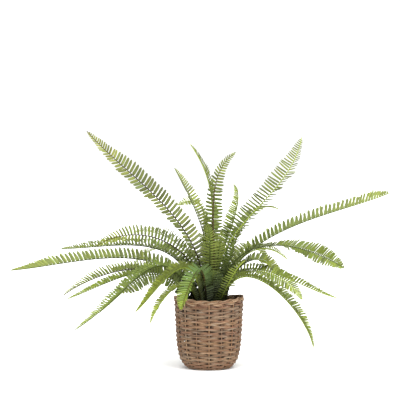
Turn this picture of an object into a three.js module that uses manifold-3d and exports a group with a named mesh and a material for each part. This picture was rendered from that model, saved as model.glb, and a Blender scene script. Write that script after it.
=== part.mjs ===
// A potted sword fern: its fronds rise from potting soil in a plastic grower's pot, which stands
// inside a round basket woven from wicker.
// Lengths are millimetres and +Z is up. The origin is the middle of the basket's foot, +X is the
// plant's right and -Y its front. Angles are degrees, and a bearing is counted from +X towards +Y.
import * as THREE from "three";
import { mergeVertices } from "three/addons/utils/BufferGeometryUtils.js";
import Module from "manifold-3d";

const wasm = await Module();
wasm.setup();

// Basket: a side woven on upright stakes, a twisted border and a woven base
const STAKES = 16;
const WEAVE_ROWS = 21;
const SIDE_TOP = 143;
const SIDE_RADIUS = 69; // of the flared side carried down to the floor
const SIDE_FLARE = 0.05; // growth of that radius with height
const SHOULDER_HEIGHT = 17.4; // over which the side's fall inwards to its foot drops to 37%
const FOOT_RADIUS = 45;
const MOUTH_RISE = 6.5; // of the mouth's left and right above its front and back
const RISE_START = 60; // height at which the side starts to follow that rise
const SIDE_THICKNESS = 5.5;
const STRAND_OVER = 2.3; // relief where a strand passes in front of a stake
const STRAND_BEHIND = -1.5; // relief where it passes behind one
const STRAND_BETWEEN = 0.3;
const GROOVE = -1.9; // relief between two rows
const BORDER_STRANDS = 3;
const BORDER_TURNS = 9; // of the twist, in one round of the basket
const BORDER_HALF_WIDTH = 5.2;
const BORDER_HALF_HEIGHT = 6.3;
const BORDER_RELIEF = 0.7;
const BASE_RADIUS = 40.5;
const BASE_THICKNESS = 5.5;
const BASE_GROOVE = [0.4, 0.5]; // between which shares of its radius the base has a groove below
const BASE_GROOVE_DEPTH = 1.2;

// Grower's pot and soil
const POT_FOOT_RADIUS = 41.6;
const POT_MOUTH_RADIUS = 67;
const POT_LIP_RADIUS = 69.3;
const POT_TOP = 140;
const POT_WALL = 1.6;
const POT_LIP_HEIGHT = 6;
const SOIL_EDGE_HEIGHT = 131;
const SOIL_CROWN_HEIGHT = 139;
const SOIL_BREAK = 0.6; // share of its radius at which the soil's surface has an edge

// Fronds
const ROOT_DEPTH = 13; // length of stalk that stands in the soil
const STALK_HALF = 1.7; // half of the rib's thickness at the soil
const RIB_TIP_HALF = 0.5;
const BARE_SHARE = 0.08; // of the rib, from the soil, that carries no leaflets
const LONG_STALKS = { right_broad: 0.36, upper_right: 0.14 }; // that share where it is greater
const LEAFLET_PITCH = 15.4;
const LEAFLET_SWEEP = 14; // lean of a leaflet towards the frond's tip
const LEAFLET_HALF_THICKNESS = 0.32;
const LOWEST_LEAFLET = 0.55; // share of the longest leaflet's length that the lowest one has
const GROWTH_SHARE = 0.32; // of the leafy rib, over which leaflets grow to their full length
const TAPER_SHARE = 0.3; // of the leafy rib, over which they shorten towards its tip
const TAPER_POWER = 0.65; // below 1 for a blunt end
const TIP_PITCH = 0.6; // bare end of the rib, counted in leaflets
const SOCKET_ROOM = 0.45; // between a stalk's corners and its hole's
const SOCKET_REACH = 8; // of a hole's cutter above the soil

const FIT_GAP = 0.3; // between pieces that touch
const CROSSING_GAP = 3.2; // nearest that two fronds' sample points may come
const SAMPLE_STEP = 2.3;

// Each frond, read off by eye: where it stands (distance from the middle and bearing), the points that
// its rib passes at a third and at two thirds of its length, its tip, the length of its longest leaflet,
// and how far the leaflets fold up from the blade.
const FRONDS = {
  upper_left: [[14, 165], [-50, 13, 300], [-160, 40, 422], [-280, 70, 535], 28, 38],
  left_high_back: [[38, 150], [-92, 46, 254], [-215, 97, 271], [-350, 155, 260], 25, 58],
  left_arch: [[27, 165], [-49, 4, 245], [-142, -7, 298], [-251, -20, 275], 26, 20],
  left_back_short: [[28, 137], [-33, 30, 230], [-94, 76, 290], [-173, 140, 300], 23, 50],
  left_long: [[26, 187], [-128, -22, 240], [-283, -51, 245], [-436, -80, 225], 27, 62],
  left_mid: [[38, 178], [-110, -28, 218], [-218, -64, 218], [-318, -100, 172], 22, 58],
  left_mid_low: [[39, 164], [-115, 8, 213], [-216, 5, 197], [-319, 0, 155], 18, 56],
  left_low: [[27, 214], [-102, -60, 233], [-177, -139, 194], [-284, -210, 108], 23, 60],
  left_low_back: [[38, 197], [-108, -35, 211], [-167, -73, 196], [-240, -105, 134], 23, 20],
  front_left: [[38, 244], [-50, -95, 232], [-105, -185, 201], [-154, -260, 151], 19, 62],
  front_left_narrow: [[38, 228], [-52, -46, 189], [-93, -80, 170], [-128, -110, 112], 15, 30],
  front_leaf: [[38, 262], [-11, -71, 208], [-27, -136, 225], [-60, -175, 147], 24, 44],
  right_drooping: [[38, 319], [87, -54, 209], [172, -104, 157], [225, -135, 61], 20, 50],
  right_low: [[38, 335], [69, -22, 210], [141, -39, 213], [207, -55, 158], 22, 22],
  right_arch: [[38, 350], [56, -11, 211], [105, -20, 245], [161, -30, 211], 20, 34],
  right_far: [[38, 6], [88, 11, 222], [189, 25, 196], [292, 40, 154], 18, 52],
  right_broad: [[27, 352], [77, -9, 257], [188, -18, 273], [292, -130, 233], 27, 20],
  right_back_short: [[38, 38], [59, 47, 224], [117, 94, 262], [186, 150, 234], 16, 68],
  right_long: [[14, 5], [106, 15, 272], [258, 37, 342], [416, 60, 393], 25, 60],
  upper_right: [[14, 36], [51, 36, 287], [147, 99, 394], [219, 145, 522], 31, 38],
  top_curl: [[27, 68], [22, 37, 230], [60, 57, 340], [58, 80, 412], 23, 60],
  top_middle: [[3, 0], [11, 15, 272], [13, 29, 398], [62, 60, 486], 25, 12],
  top_left_tall: [[14, 85], [5, 40, 281], [5, 64, 392], [-42, 110, 505], 22, 26],
  top_left: [[14, 125], [-4, 21, 264], [-36, 37, 366], [-78, 60, 450], 24, 50],
  back_left: [[27, 112], [-8, 60, 254], [-12, 105, 352], [-74, 190, 362], 23, 10],
  back_right: [[28, 38], [49, 52, 248], [95, 108, 337], [168, 190, 352], 17, 30],
  back_middle: [[38, 88], [2, 115, 250], [-4, 225, 285], [-15, 330, 235], 24, 30],
  back_low_right: [[38, 63], [55, 110, 235], [103, 205, 262], [150, 290, 215], 22, 30],
  back_low_left: [[38, 119], [-65, 105, 235], [-122, 192, 258], [-180, 270, 215], 22, 30],
  front_young: [[25, 280], [7, -36, 172], [8, -56, 202], [10, -86, 226], 24, 0],
  front_young_right: [[26, 318], [27, -26, 185], [42, -42, 240], [56, -58, 286], 20, 30],
  crown_left_front: [[27, 243], [-38, -32, 190], [-55, -40, 219], [-76, -48, 236], 22, 20],
  crown_left: [[13, 230], [-27, -16, 199], [-42, -23, 249], [-58, -30, 283], 24, 20],
  crown_centre: [[14, 300], [2, -24, 206], [2, -35, 274], [-4, -45, 325], 24, 10],
  crown_centre_right: [[20, 322], [16, -25, 208], [22, -33, 263], [29, -40, 310], 22, 15],
  crown_right: [[33, 300], [45, -46, 197], [63, -62, 229], [79, -75, 246], 22, 20],
  crown_right_inner: [[21, 345], [23, -6, 194], [36, -8, 248], [50, -12, 306], 22, 15],
};

// Blades that are turned about their rib: how far near the soil and at the tip, and between which shares
// of the rib the change comes
const BLADE_TURNS = {
  upper_left: [-40, -60, 0.2, 0.6],
  left_arch: [-20, -56, 0.1, 0.5],
  left_mid: [0, -10, 0, 0.6],
  left_low: [20, 25, 0, 0.6],
  left_low_back: [-75, 0, 0.62, 0.8],
  front_leaf: [0, 12, 0.6, 0.9],
  right_arch: [0, 50, 0.45, 0.8],
  right_broad: [0, 60, 0.4, 0.85],
  right_low: [0, 65, 0.35, 0.75],
  upper_right: [24, 28, 0, 0.4],
  top_middle: [60, 80, 0.1, 0.5],
  top_left_tall: [35, 72, 0.4, 0.75],
  back_left: [0, 50, 0, 0.6],
};
const NO_TURN = [0, 0, 0, 1];

const WICKER = new THREE.MeshStandardMaterial({ color: 0x8a6a4f, roughness: 0.8, metalness: 0 });
const PLASTIC = new THREE.MeshStandardMaterial({ color: 0x1c1a18, roughness: 0.5, metalness: 0 });
const SOIL = new THREE.MeshStandardMaterial({ color: 0x2a1c12, roughness: 1, metalness: 0 });
const LEAF = new THREE.MeshStandardMaterial({ color: 0x6f9a34, roughness: 0.55, metalness: 0 });

const radians = THREE.MathUtils.degToRad;
const { lerp, smoothstep } = THREE.MathUtils;

// An indexed geometry from a list of points and a flat list of corner numbers
function indexedGeometry(points, corners) {
  const geometry = new THREE.BufferGeometry().setFromPoints(points);
  geometry.setIndex(corners);
  return geometry;
}

// A closed surface whose columns are closed loops of points, and follow each other round a ring
function ringGeometry(columns) {
  const size = columns[0].length;
  const corners = [];
  columns.forEach((_, column) => {
    const here = column * size;
    const next = ((column + 1) % columns.length) * size;
    for (let low = 0; low < size; low++) {
      const high = (low + 1) % size;
      corners.push(here + low, next + low, next + high);
      corners.push(here + low, next + high, here + high);
    }
  });
  return indexedGeometry(columns.flat(), corners);
}

// A point at a distance from the axis, a height and a bearing
function around(radius, height, bearing) {
  const angle = radians(bearing);
  return new THREE.Vector3(radius * Math.cos(angle), radius * Math.sin(angle), height);
}

function solidOf(geometry) {
  const bare = new THREE.BufferGeometry();
  bare.setAttribute("position", geometry.getAttribute("position"));
  bare.setIndex(geometry.getIndex());
  const merged = mergeVertices(bare, 1e-4);
  const vertProperties = merged.getAttribute("position").array;
  const triVerts = new Uint32Array(merged.getIndex().array);
  return new wasm.Manifold(new wasm.Mesh({ numProp: 3, vertProperties, triVerts }));
}

function geometryOf(solid) {
  const { vertProperties, triVerts, numProp } = solid.getMesh();
  const points = [];
  for (let i = 0; i < vertProperties.length; i += numProp) {
    points.push(new THREE.Vector3().fromArray(vertProperties, i));
  }
  return indexedGeometry(points, [...triVerts]);
}

// Radius of the basket's side at a height, before the relief of the weave
function sideRadius(height) {
  const fall = (SIDE_RADIUS - FOOT_RADIUS) * Math.exp(-height / SHOULDER_HEIGHT);
  return SIDE_RADIUS + SIDE_FLARE * height - fall;
}

const PROFILE_STEPS = 24;
const sideProfile = new THREE.SplineCurve(
  Array.from({ length: PROFILE_STEPS + 1 }, (_, i) => {
    const height = (i / PROFILE_STEPS) * SIDE_TOP;
    return new THREE.Vector2(sideRadius(height), height);
  }),
);

// How far the basket's mouth rises at a bearing
function mouthRise(bearing) {
  return MOUTH_RISE * Math.cos(radians(bearing)) ** 2;
}

// A point of the side at a share of its profile's length, raised from it by a relief
function sidePoint(share, relief, bearing) {
  const point = sideProfile.getPointAt(share);
  const along = sideProfile.getTangentAt(share);
  const height = point.y - relief * along.x;
  const rise = mouthRise(bearing) * smoothstep(point.y, RISE_START, SIDE_TOP);
  return around(point.x + relief * along.y, height + rise, bearing);
}

// The plain weave: a strand passes in front of every second stake, and the next row the other ones
function weaveRelief(level, column) {
  if (level % 2 === 0) return GROOVE;
  if (column % 2 === 1) return STRAND_BETWEEN;
  const row = (level - 1) / 2;
  return (row + column / 2) % 2 === 0 ? STRAND_OVER : STRAND_BEHIND;
}

function basketSide() {
  const columns = 2 * STAKES;
  const levels = 2 * WEAVE_ROWS;
  const innerShares = [1, 0.62, 0.36, 0.25, 0.16, 0.08];
  return ringGeometry(
    Array.from({ length: columns }, (_, column) => {
      const bearing = (360 * column) / columns;
      const outer = Array.from({ length: levels }, (_, level) =>
        sidePoint((level + 1) / levels, weaveRelief(level + 1, column), bearing),
      );
      const inner = innerShares.map((share) => sidePoint(share, -SIDE_THICKNESS, bearing));
      const foot = [around(BASE_RADIUS + FIT_GAP, 0, bearing), around(FOOT_RADIUS, 0, bearing)];
      return [...outer, ...inner, ...foot];
    }),
  );
}

const BORDER_RADIUS = sideRadius(SIDE_TOP) - SIDE_THICKNESS / 2 + BORDER_RELIEF;
const BORDER_MIDDLE = SIDE_TOP + FIT_GAP + BORDER_HALF_HEIGHT + BORDER_RELIEF;
const BASKET_RADIUS = BORDER_RADIUS + BORDER_HALF_WIDTH + BORDER_RELIEF;
const BASKET_TOP = BORDER_MIDDLE + BORDER_HALF_HEIGHT + BORDER_RELIEF;

// The border: strands that twist round each other along the basket's mouth
function basketBorder() {
  const columns = 48;
  const sides = 8;
  return ringGeometry(
    Array.from({ length: columns }, (_, column) => {
      const bearing = (360 * column) / columns;
      return Array.from({ length: sides }, (_, side) => {
        const angle = radians((360 * side) / sides);
        const relief = BORDER_RELIEF * Math.cos(BORDER_STRANDS * angle - BORDER_TURNS * radians(bearing));
        const radius = BORDER_RADIUS + (BORDER_HALF_WIDTH + relief) * Math.cos(angle);
        const height = BORDER_MIDDLE + (BORDER_HALF_HEIGHT + relief) * Math.sin(angle);
        return around(radius, height + mouthRise(bearing), bearing);
      });
    }),
  );
}

// A solid of revolution with the basket's number of sides, so that faces and gaps match
function turned(profile) {
  const points = profile.map(([radius, height]) => new THREE.Vector2(radius, height));
  const lathe = new THREE.LatheGeometry(points, 2 * STAKES);
  lathe.rotateX(Math.PI / 2);
  lathe.rotateZ(Math.PI / 2);
  return lathe;
}

function basketBase() {
  const [grooveStart, grooveEnd] = BASE_GROOVE;
  return turned([
    [0, 0],
    [BASE_RADIUS * grooveStart, 0],
    [(BASE_RADIUS * (grooveStart + grooveEnd)) / 2, BASE_GROOVE_DEPTH],
    [BASE_RADIUS * grooveEnd, 0],
    [BASE_RADIUS, 0],
    [BASE_RADIUS, BASE_THICKNESS],
    [0, BASE_THICKNESS],
  ]);
}

const POT_FOOT = BASE_THICKNESS + FIT_GAP;

// Outer radius of the grower's pot at a height
function potRadius(height) {
  return lerp(POT_FOOT_RADIUS, POT_MOUTH_RADIUS, (height - POT_FOOT) / (POT_TOP - POT_FOOT));
}

function growersPot() {
  const lipFoot = POT_TOP - POT_LIP_HEIGHT;
  const floor = POT_FOOT + POT_WALL;
  return turned([
    [0, POT_FOOT],
    [POT_FOOT_RADIUS, POT_FOOT],
    [potRadius(lipFoot), lipFoot],
    [POT_LIP_RADIUS, lipFoot],
    [POT_LIP_RADIUS, POT_TOP],
    [POT_MOUTH_RADIUS - POT_WALL, POT_TOP],
    [potRadius(floor) - POT_WALL, floor],
    [0, floor],
  ]);
}

// Height of the soil's surface, which is a little higher in the middle
function soilHeight(radius) {
  return lerp(SOIL_CROWN_HEIGHT, SOIL_EDGE_HEIGHT, (radius / POT_MOUTH_RADIUS) ** 2);
}

function soilBody() {
  const floor = POT_FOOT + POT_WALL + FIT_GAP;
  const inside = (height) => potRadius(height) - POT_WALL - FIT_GAP;
  const edge = inside(SOIL_EDGE_HEIGHT);
  return turned([
    [0, floor],
    [inside(floor), floor],
    [edge, soilHeight(edge)],
    [edge * SOIL_BREAK, soilHeight(edge * SOIL_BREAK)],
    [0, SOIL_CROWN_HEIGHT],
  ]);
}

// The single curve that passes four points at even steps
function smoothCurve(start, third, twoThirds, end) {
  const blend = (...shares) => {
    const sum = new THREE.Vector3();
    [start, third, twoThirds, end].forEach((point, i) => sum.addScaledVector(point, shares[i] / 6));
    return sum;
  };
  return new THREE.CubicBezierCurve3(start, blend(-5, 18, -9, 2), blend(2, -9, 18, -5), end);
}

// The rib of one frond: a straight root in the soil and a smooth curve from there to the tip
class Rib {
  constructor([distance, bearing], places, turn = NO_TURN) {
    const foot = around(distance, soilHeight(distance), bearing);
    const [third, twoThirds, tip] = places.map((place) => new THREE.Vector3(...place));
    this.curve = smoothCurve(foot, third, twoThirds, tip);
    this.start = this.curve.getTangentAt(0);
    this.length = this.curve.getLength();
    this.left = new THREE.Vector3(foot.y - tip.y, tip.x - foot.x, 0).normalize();
    this.turn = turn;
  }

  // Place and directions at a share of the rib's length: along it, to its left and off its face
  at(share) {
    const along = this.curve.getTangentAt(share);
    const face = along.clone().cross(this.left).normalize();
    const side = face.clone().cross(along);
    const [footTurn, tipTurn, from, to] = this.turn;
    const turn = radians(lerp(footTurn, tipTurn, smoothstep(share, from, to)));
    face.applyAxisAngle(along, turn);
    side.applyAxisAngle(along, turn);
    const half = lerp(STALK_HALF, RIB_TIP_HALF, share);
    return { point: this.curve.getPointAt(share), along, side, face, half };
  }

  // The same at a depth below the soil's surface
  below(depth) {
    const frame = this.at(0);
    frame.point.addScaledVector(this.start, -depth);
    return frame;
  }
}

// The four corners of a rib's section, from its face by its left, its back and its right
function ribSection({ point, side, face, half }) {
  return [
    point.clone().addScaledVector(face, half),
    point.clone().addScaledVector(side, half),
    point.clone().addScaledVector(face, -half),
    point.clone().addScaledVector(side, -half),
  ];
}

// Length of a leaflet as a share of the longest, at a share of the leafy part of the rib
function leafletShare(share) {
  const fromStalk = lerp(LOWEST_LEAFLET, 1, smoothstep(share, 0, GROWTH_SHARE));
  const fromTip = Math.min(1, (1 - share) / TAPER_SHARE) ** TAPER_POWER;
  return fromStalk * fromTip;
}

// The height that leaflets keep above over the basket, and over the soil inside its mouth
function basketCeiling({ x, y }) {
  const distance = Math.hypot(x, y);
  if (distance > BASKET_RADIUS + CROSSING_GAP) return -Infinity;
  const overBorder = distance > 2 * BORDER_RADIUS - BASKET_RADIUS - CROSSING_GAP;
  return CROSSING_GAP + (overBorder ? BASKET_TOP + MOUTH_RISE : SOIL_CROWN_HEIGHT);
}

// Steps from a cell of the grid below to itself and the 26 round it
const STEPS = [-1, 0, 1];
const NEIGHBOURS = STEPS.flatMap((x) => STEPS.flatMap((y) => STEPS.map((z) => [x, y, z])));

// Points of space that fronds already fill, in a grid of cells
class Filled {
  constructor() {
    this.cells = new Map();
  }

  static cell(point, step = [0, 0, 0]) {
    return point
      .toArray()
      .map((value, axis) => Math.floor(value / CROSSING_GAP) + step[axis])
      .join();
  }

  add(points, owner) {
    for (const point of points) {
      const key = Filled.cell(point);
      if (!this.cells.has(key)) this.cells.set(key, []);
      this.cells.get(key).push({ point, owner });
    }
  }

  isNear(point, owner) {
    const crosses = (other) => other.owner !== owner && other.point.distanceTo(point) < CROSSING_GAP;
    return NEIGHBOURS.some((step) => this.cells.get(Filled.cell(point, step))?.some(crosses));
  }

  isClear(points, owner) {
    return !points.some((point) => point.z < basketCeiling(point) || this.isNear(point, owner));
  }
}

// Evenly spread points of a leaflet, a triangle on the rib
function leafletSamples(low, high, tip) {
  const samples = [];
  const rows = Math.ceil(low.distanceTo(tip) / SAMPLE_STEP);
  for (let row = 0; row <= rows; row++) {
    const from = low.clone().lerp(tip, row / rows);
    const to = high.clone().lerp(tip, row / rows);
    const across = Math.max(1, Math.ceil(from.distanceTo(to) / SAMPLE_STEP));
    for (let i = 0; i <= across; i++) samples.push(from.clone().lerp(to, i / across));
  }
  return samples;
}

// A leaflet's tip: hand is 1 on the left of the rib and -1 on its right
function leafletTip(frame, hand, fold, length) {
  const out = frame.side.clone().multiplyScalar(hand * Math.cos(radians(fold)));
  out.addScaledVector(frame.face, Math.sin(radians(fold)));
  const off = frame.face.clone().multiplyScalar(Math.cos(radians(fold)));
  off.addScaledVector(frame.side, -hand * Math.sin(radians(fold)));
  const direction = out.multiplyScalar(Math.cos(radians(LEAFLET_SWEEP)));
  direction.addScaledVector(frame.along, Math.sin(radians(LEAFLET_SWEEP)));
  return { point: frame.point.clone().addScaledVector(direction, length), off };
}

// What a leaflet tries in turn until it is clear of other fronds: an extra fold, and a shorter length
const DODGES = [
  [0, 1],
  [14, 1],
  [-14, 1],
  [26, 1],
  [-26, 1],
  [0, 0.75],
  [26, 0.75],
  [-26, 0.75],
  [0, 0.5],
  [26, 0.5],
  [-26, 0.5],
  [0, 0.3],
  [0, 0.15],
];
const MOST_FOLD = 84;
const LEAST_FOLD = -25;

class Frond {
  constructor(name, [root, third, twoThirds, tip, leaflet, fold]) {
    this.name = `frond_${name}`;
    this.leaflet = leaflet;
    this.fold = fold;
    this.rib = new Rib(root, [third, twoThirds, tip], BLADE_TURNS[name]);
    this.bareShare = LONG_STALKS[name] ?? BARE_SHARE;
    const leafyLength = this.rib.length * (1 - this.bareShare);
    this.pairs = Math.round(leafyLength / LEAFLET_PITCH);
    const step = (1 - this.bareShare) / (this.pairs + TIP_PITCH);
    this.shares = Array.from({ length: this.pairs + 1 }, (_, i) => this.bareShare + i * step);
    this.leaflets = [];
  }

  ribSamples() {
    const steps = Math.ceil(this.rib.length / SAMPLE_STEP);
    return Array.from({ length: steps + 1 }, (_, i) => this.rib.curve.getPointAt(i / steps));
  }

  // Sets the leaflets out along the rib, each bent or shortened until it is clear of what is there
  growLeaflets(filled) {
    for (let i = 0; i < this.pairs; i++) {
      const middle = (i + 0.5) / this.pairs;
      const low = this.rib.at(this.shares[i]);
      const high = this.rib.at(this.shares[i + 1]);
      const frame = this.rib.at((this.shares[i] + this.shares[i + 1]) / 2);
      const length = this.leaflet * leafletShare(middle);
      const pair = [1, -1].map((hand) => {
        let best;
        for (const [bend, share] of DODGES) {
          const fold = THREE.MathUtils.clamp(this.fold + bend, LEAST_FOLD, MOST_FOLD);
          best = leafletTip(frame, hand, fold, length * share);
          best.samples = leafletSamples(low.point, high.point, best.point);
          if (filled.isClear(best.samples, this.name)) break;
        }
        return best;
      });
      this.leaflets.push(pair);
    }
    for (const leaflet of this.leaflets.flat()) filled.add(leaflet.samples, this.name);
  }

  geometry() {
    const bareSteps = Math.round((2 * this.bareShare) / BARE_SHARE);
    const bare = Array.from({ length: bareSteps }, (_, i) => this.rib.at((i * this.bareShare) / bareSteps));
    const leafy = this.shares.map((share) => this.rib.at(share));
    const sections = [this.rib.below(ROOT_DEPTH), ...bare, ...leafy].map(ribSection);
    const points = sections.flat();
    const corners = [0, 1, 2, 0, 2, 3];
    const firstLeafy = 1 + bare.length;
    const wall = (a, b, c, d) => corners.push(a, b, c, a, c, d);

    // A blade on the strip between two edges of the rib, closed by a thin edge at its tip
    const blade = (a, b, c, d, nearA, nearD) => {
      const first = points.push(nearA, nearD) - 2;
      corners.push(a, b, first);
      corners.push(c, d, first + 1);
      wall(b, c, first + 1, first);
      wall(d, a, first, first + 1);
    };

    for (let i = 0; i + 1 < sections.length; i++) {
      const [face, left, back, right] = [0, 1, 2, 3].map((k) => 4 * i + k);
      const pair = this.leaflets[i - firstLeafy];
      wall(left, left + 4, back + 4, back);
      wall(back, back + 4, right + 4, right);
      if (!pair) {
        wall(face, face + 4, left + 4, left);
        wall(right, right + 4, face + 4, face);
        continue;
      }
      const [[upper, under], [farUpper, farUnder]] = pair.map(({ point, off }) =>
        [1, -1].map((way) => point.clone().addScaledVector(off, way * LEAFLET_HALF_THICKNESS)),
      );
      blade(face, face + 4, left + 4, left, upper, under);
      blade(right, right + 4, face + 4, face, farUnder, farUpper);
    }

    const apex = points.push(this.rib.at(1).point) - 1;
    const last = 4 * (sections.length - 1);
    for (let k = 0; k < 4; k++) corners.push(last + k, apex, last + ((k + 1) % 4));
    return indexedGeometry(points, corners);
  }

  // The hole that the stalk stands in
  socket() {
    const ends = [this.rib.below(ROOT_DEPTH + FIT_GAP), this.rib.below(-SOCKET_REACH)];
    const points = ends.flatMap((frame) => ribSection({ ...frame, half: STALK_HALF + SOCKET_ROOM }));
    const corners = [0, 1, 2, 0, 2, 3, 4, 6, 5, 4, 7, 6];
    for (let k = 0; k < 4; k++) {
      const next = (k + 1) % 4;
      corners.push(k, k + 4, next + 4, k, next + 4, next);
    }
    return indexedGeometry(points, corners);
  }
}

function growFronds() {
  const fronds = Object.entries(FRONDS).map(([name, form]) => new Frond(name, form));
  const filled = new Filled();
  for (const frond of fronds) filled.add(frond.ribSamples(), frond.name);
  for (const frond of fronds) frond.growLeaflets(filled);
  return fronds;
}

function soilWithSockets(fronds) {
  const whole = solidOf(soilBody());
  return geometryOf(fronds.reduce((soil, frond) => soil.subtract(solidOf(frond.socket())), whole));
}

const plant = new THREE.Group();

function place(name, geometry, material) {
  const mesh = new THREE.Mesh(geometry, material);
  mesh.name = name;
  plant.add(mesh);
}

const fronds = growFronds();
place("basket_side", basketSide(), WICKER);
place("basket_border", basketBorder(), WICKER);
place("basket_base", basketBase(), WICKER);
place("growers_pot", growersPot(), PLASTIC);
place("soil", soilWithSockets(fronds), SOIL);
for (const frond of fronds) place(frond.name, frond.geometry(), LEAF);

export default plant;
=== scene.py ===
import math

import bpy
import numpy as np
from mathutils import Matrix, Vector, noise


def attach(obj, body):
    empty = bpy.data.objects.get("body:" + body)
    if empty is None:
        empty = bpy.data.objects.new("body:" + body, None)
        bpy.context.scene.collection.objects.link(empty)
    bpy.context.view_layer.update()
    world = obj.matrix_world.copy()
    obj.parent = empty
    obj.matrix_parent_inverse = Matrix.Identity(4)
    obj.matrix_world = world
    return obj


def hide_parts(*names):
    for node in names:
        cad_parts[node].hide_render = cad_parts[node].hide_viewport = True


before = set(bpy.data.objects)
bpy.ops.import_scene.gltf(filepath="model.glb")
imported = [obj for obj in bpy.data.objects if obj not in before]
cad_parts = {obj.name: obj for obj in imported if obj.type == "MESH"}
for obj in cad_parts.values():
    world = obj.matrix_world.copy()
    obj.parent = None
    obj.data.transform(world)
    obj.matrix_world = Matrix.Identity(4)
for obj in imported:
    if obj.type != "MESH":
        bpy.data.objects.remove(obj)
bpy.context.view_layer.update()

MM = 0.001

# Camera, lamp, room and floor
CAMERA_PLACE = (-20, -3200, 440)
CAMERA_TARGET = (-20, 0, 378)
CAMERA_LENS = 128
CAMERA_REACH = 200000
LAMP_PLACE = (250, -1300, 2300)
LAMP_TARGET = (0, 0, 200)
LAMP_ENERGY = 4.6
LAMP_ANGLE = 60
ROOM_STRENGTH = 1.12
FLOOR_REACH = 30000

# Seeds of the random draws
SIDE_SEED, BORDER_SEED, BASE_SEED, SOIL_SEED, FROND_SEED = 11, 12, 13, 14, 100

# Basket: weavers in pairs round upright stakes, a twisted border and a woven base
STAKES = 16
FRONT_BEARING = -90
WEAVE_ROWS = 29
SIDE_TOP = 143
SIDE_RADIUS = 69  # of the flared side carried down to the floor
SIDE_FLARE = 0.05
SHOULDER_HEIGHT = 17.4  # over which the side's fall inwards to its foot drops to 37%
FOOT_RADIUS = 45
MOUTH_RISE = 6.5  # of the mouth's left and right above its front and back
RISE_START = 60  # height from which the side follows it
LINE_STEPS = 400
WEAVE_DEPTH = 1.3  # of the weavers' middle line behind the side's outline
WEAVE_SWING = 2.6  # in front of and behind that line
PAIR_OFFSET = 0.25  # of a pair's two weavers from the middle of their row, in rows
WEAVER_HALF = 1.5
WEAVER_SIZES = (0.86, 1.1)  # shares of that
WEAVER_OUT, WEAVER_UP = 0.92, 1.12  # of that half size, outwards and upwards
TALLEST_WEAVER = 0.34  # half its height, in rows
WEAVER_LIFT = 0.9  # of its middle line above the floor, in half sizes
WEAVER_STEPS = 160
WEAVER_SIDES = 6
LIT_FROM = 0.28  # share of the way out from behind a stake, where light begins
LIT_EDGE = (-0.2, 0.06)
HIDDEN_SHADE = 0.14
STAKE_DEPTH = 0.4  # of the stakes' middle line
STAKE_HALF = 1.3
STAKE_STEPS = 40
STAKE_END = 6  # in the border
# painted light: the stakes' tint is raised so they look lit where they stand out between the weave's dark
# holes
STAKE_PAINTED_LIGHT = 1.3
BORDER_RADIUS = 74.1
BORDER_MIDDLE = 150.3
BORDER_WAVES = 5
BORDER_STRANDS = 3
BORDER_HALF_WIDTH = 4.0
BORDER_HALF_HEIGHT = 3.7
STRAND_ROD_HALF = 1.7
STRAND_ROD_SIZES = (0.88, 1.05)
STRAND_ROD_GAP = 0.96  # of a strand's two rods from its middle, in half sizes
BORDER_STEPS = 280
BINDING = ((74.4, 144.6), (71.6, 146.2))  # radii and heights of plain rods under the plait
BINDING_HALVES = (1.6, 1.4)
# painted shade: the rods under the plait are darkened where its shade falls
BINDING_PAINTED_SHADE = 0.7
BASE_RADIUS = 39.5
BASE_HUB = 7.5
BASE_MIDDLE = 2.8
BASE_SWING = 1.35
BASE_RINGS = 12
BASE_STEPS = 128
RING_HALVES = (1.3, 1.25)
SPOKE_HALVES = (1.5, 1.25)
SPOKE_END = 1  # beyond the outermost ring
SPOKE_STEPS = 30
ROD_SIDES = 8

# Wobbles of those rods: how many waves go round, and their size in millimetres, degrees or shares
ROW_WOBBLE = ((3, 5, 8, 13), 0.58)
DEPTH_WOBBLE = ((2, 7, 11), 0.24)
LIT_WOBBLE = ((5, 9, 12), 0.15)
WEAVER_SWELL = ((1, 2, 3, 9, 14), 0.1)
STRAND_WOBBLE = ((4, 7, 9, 15), 5.0)
STRAND_SWELL = ((3, 5, 11), 0.06)
ROD_SWELL = ((1, 2, 5), 0.06)
BINDING_WOBBLE = ((3, 8, 13), 0.25)
BINDING_LIFT = ((2, 5, 9), 0.3)
RING_WOBBLE = ((2, 3, 5), 0.12)

# First numbers of their grain, and how far apart the grain of two numbers lies
STAKE_GRAIN, BORDER_GRAIN, BINDING_GRAIN, RING_GRAIN, SPOKE_GRAIN = 80, 120, 130, 140, 160
GRAIN_STEP = np.array([7.3, 7.3, 31.0])

# Grower's pot and soil
POT_MOUTH_RADIUS = 67
POT_SIDES = 96
# Radii and heights from under the foot up the outside, round the lip and down the inside
POT_PROFILE = np.array([
    (0.4, 6.8), (36.6, 6.8), (37.6, 5.8), (40.6, 5.8), (41.6, 7), (65.8644, 134.4), (68.8, 134),
    (69.3, 134.6), (69.3, 139.3), (68.6, 140), (65.8, 140), (65.4, 139.5), (40, 9.4), (38, 7.4), (0.4, 7.4),
])
SOIL_EDGE_HEIGHT = 131
SOIL_CROWN_HEIGHT = 139
SOIL_RADIUS = 63.2
SOIL_FOOT = np.array([(0.5, 9), (39, 9), (SOIL_RADIUS, 122)])  # radii and heights
SOIL_SIDES = 150
SOIL_RINGS = 44
LUMP_SIZE = 1.6
LUMP_RATE = 0.11
SOIL_CHIPS = 260
CHIP_REACH = 0.94  # share of the soil's radius
CHIP_LIFT = 0.5
CHIP_LENGTHS = (1.5, 4.5)
CHIP_WIDTHS = (0.8, 2.0)
CHIP_THICKNESS = 0.45  # share of its width
CHIP_SIDES = 6
CHIP_SHARES = np.array([-1, -0.55, 0.5, 1])  # places along a chip, and its width there
CHIP_OUTLINE = np.array([0.45, 1, 0.85, 0.3])

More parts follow.
